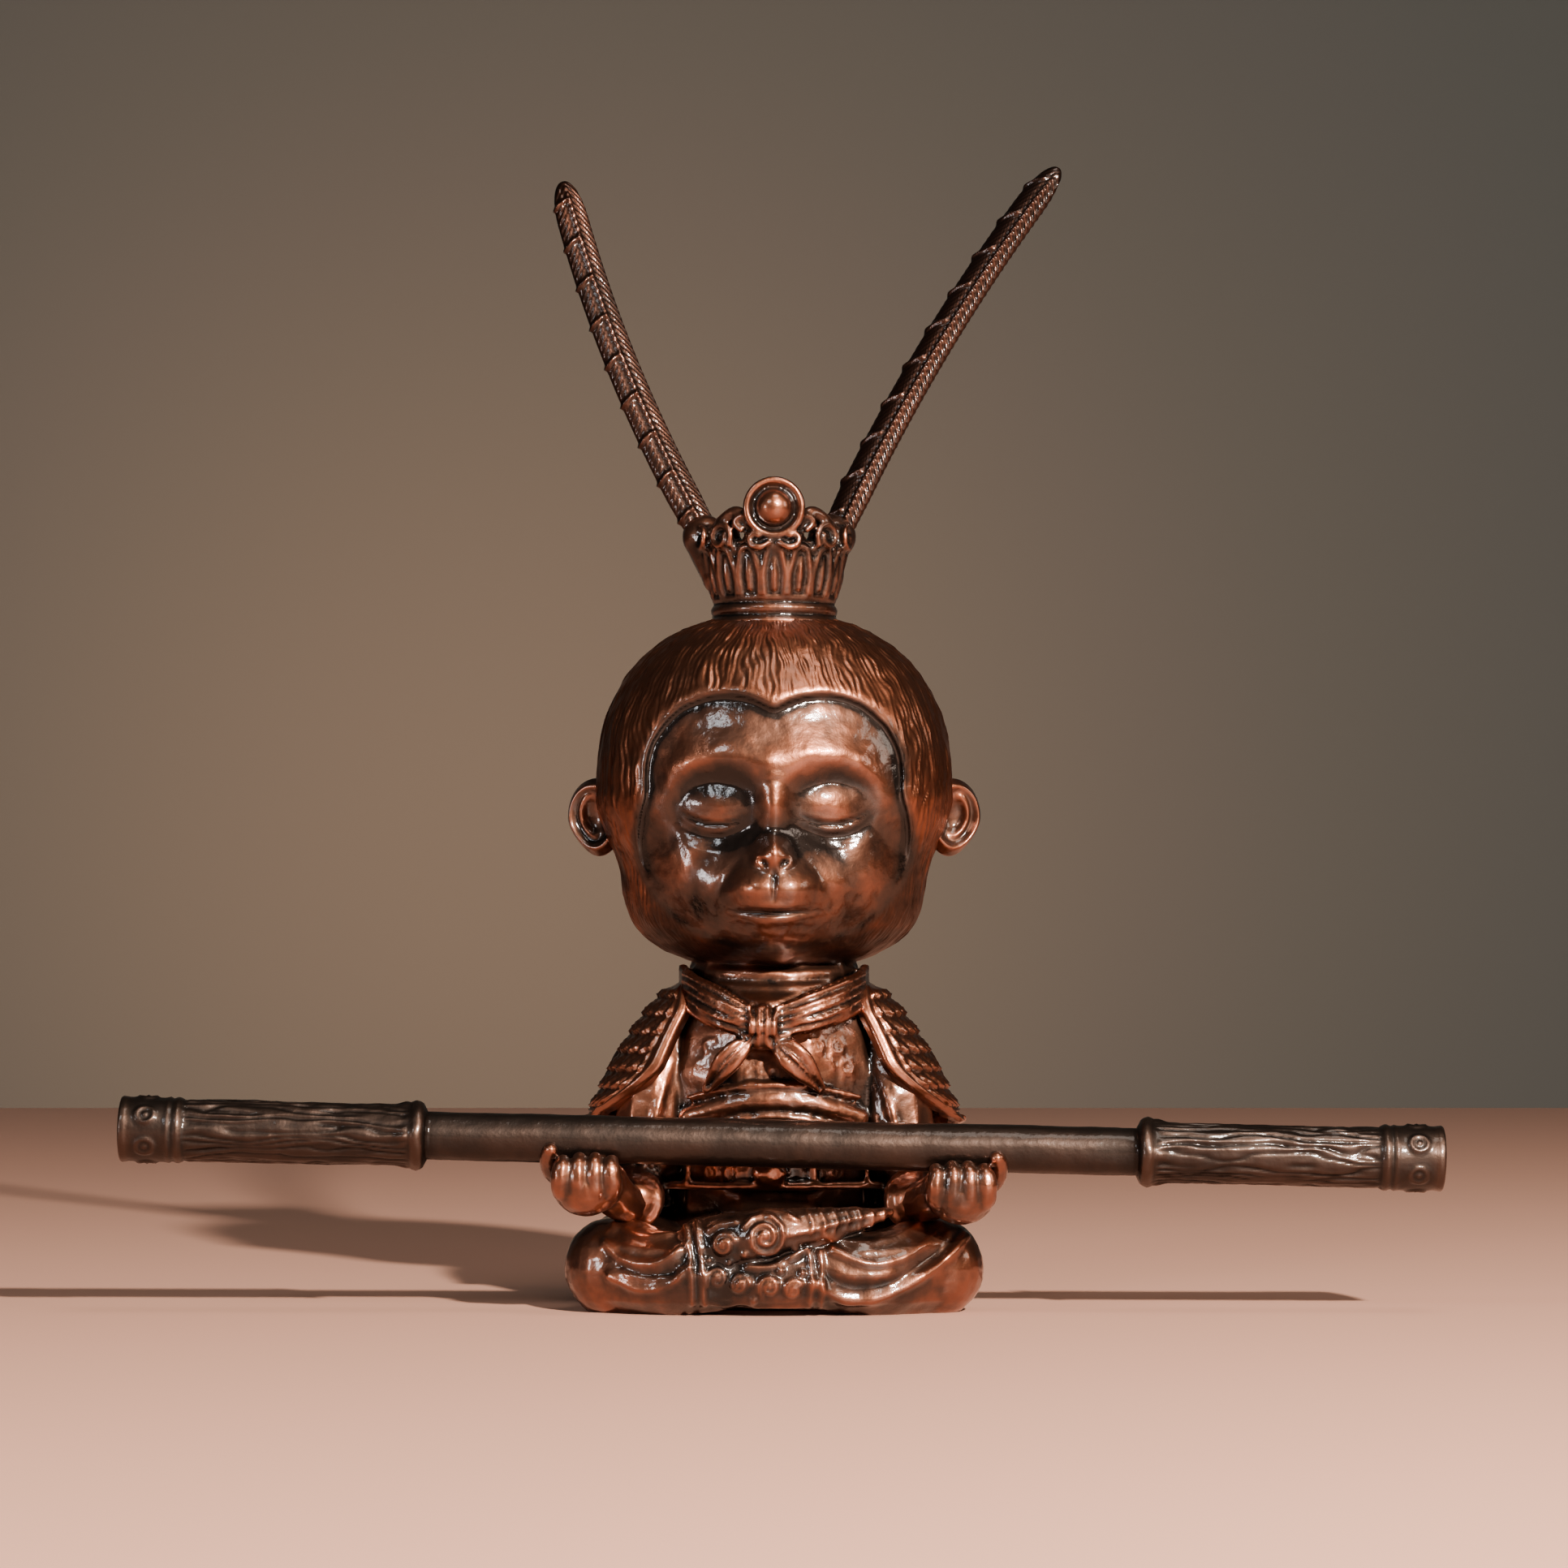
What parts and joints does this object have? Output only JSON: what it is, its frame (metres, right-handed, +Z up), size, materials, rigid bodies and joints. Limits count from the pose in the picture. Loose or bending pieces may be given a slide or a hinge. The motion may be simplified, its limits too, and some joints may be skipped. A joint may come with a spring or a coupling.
{
  "type": "seated monkey figurine",
  "caption": "Cast bronze tabletop figure of a cross-legged monkey in cape and crown, with two upright plumes and a staff laid across its open hands.",
  "frame": {"origin": "on the underside that the figure stands on, under the middle of its body", "axes": "+Z up, -Y the way the figure faces, +X along the staff towards the figure's left hand"},
  "size_m": [0.118, 0.0306, 0.1055],
  "materials": {
    "bronze": "cast, polished on the high places, with dark brown patina in the recesses",
    "dark_bronze": "cast, dark brown patina, satin"
  },
  "bodies": {
    "root": {"monkey_figure": "bronze", "plume_left": "bronze", "plume_right": "bronze", "staff": "dark_bronze"}
  },
  "joints": []
}
